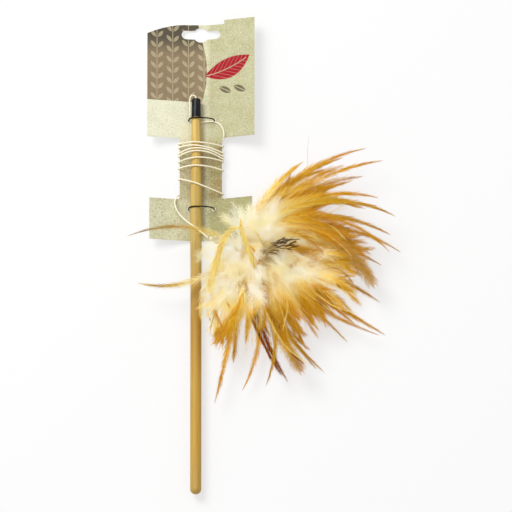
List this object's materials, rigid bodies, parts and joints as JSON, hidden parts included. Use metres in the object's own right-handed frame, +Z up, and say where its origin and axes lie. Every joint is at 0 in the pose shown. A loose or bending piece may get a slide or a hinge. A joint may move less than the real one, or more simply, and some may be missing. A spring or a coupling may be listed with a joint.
{
  "type": "cat teaser wand",
  "caption": "Wooden wand with a feather lure on a thin cord, wound round the neck of the hanging card that the wand is tied to.",
  "frame": {"origin": "centre of the dowel's circle at the lower end of its parallel part, where the rounded grip end starts", "axes": "+Y along the dowel from the grip to the cap, +Z up from the card's back to its front, +X to the right, towards the feathers"},
  "size_m": [0.2245, 0.4095, 0.0374],
  "materials": {
    "dowel_wood": "bare sanded, slightly waxed",
    "cap_vinyl": "soft dipped vinyl, glossy",
    "cord_cotton": "waxed twisted cord",
    "card_board": "uncoated recycled board, printed on the front",
    "tie_thread": "black elastic thread",
    "binding_thread": "wound thread",
    "feather": "natural cock hackle, silky"
  },
  "bodies": {
    "wand": {"dowel": "dowel_wood", "end_cap": "cap_vinyl", "cap_knot": "cord_cotton", "header_card": "card_board", "upper_tie": "tie_thread", "lower_tie": "tie_thread", "cord_lead": "cord_cotton", "cord_winding": "cord_cotton"},
    "tail": {"cord_tail": "cord_cotton"},
    "lure": {"lure_knot": "cord_cotton", "quill_binding": "binding_thread", "hackle_01": "feather", "hackle_02": "feather", "hackle_03": "feather", "hackle_04": "feather", "hackle_05": "feather", "hackle_06": "feather", "hackle_07": "feather", "hackle_08": "feather", "hackle_09": "feather", "hackle_10": "feather", "hackle_11": "feather", "hackle_12": "feather", "hackle_13": "feather", "hackle_14": "feather", "hackle_15": "feather", "hackle_16": "feather", "hackle_17": "feather", "hackle_18": "feather", "hackle_19": "feather", "hackle_20": "feather", "hackle_21": "feather", "hackle_22": "feather", "hackle_23": "feather", "hackle_24": "feather", "hackle_25": "feather", "hackle_26": "feather", "hackle_27": "feather", "hackle_28": "feather", "hackle_29": "feather", "hackle_30": "feather", "hackle_31": "feather", "hackle_32": "feather", "hackle_33": "feather", "hackle_34": "feather", "hackle_35": "feather", "hackle_36": "feather", "hackle_37": "feather", "hackle_38": "feather", "hackle_39": "feather", "hackle_40": "feather", "hackle_41": "feather", "hackle_42": "feather", "hackle_43": "feather", "hackle_44": "feather"}
  },
  "joints": [
    {"name": "lure_lift", "type": "hinge", "parent": "wand", "child": "tail", "pos_m": [-0.0165, 0.2502, -0.0011], "axis": [-0.8227, -0.5685, 0], "range_deg": [0, 75]},
    {"name": "lure_swing", "type": "hinge", "parent": "tail", "child": "lure", "pos_m": [0.0099, 0.212, 0.0125], "axis": [0, 0, 1], "range_deg": [-10, 10]}
  ]
}
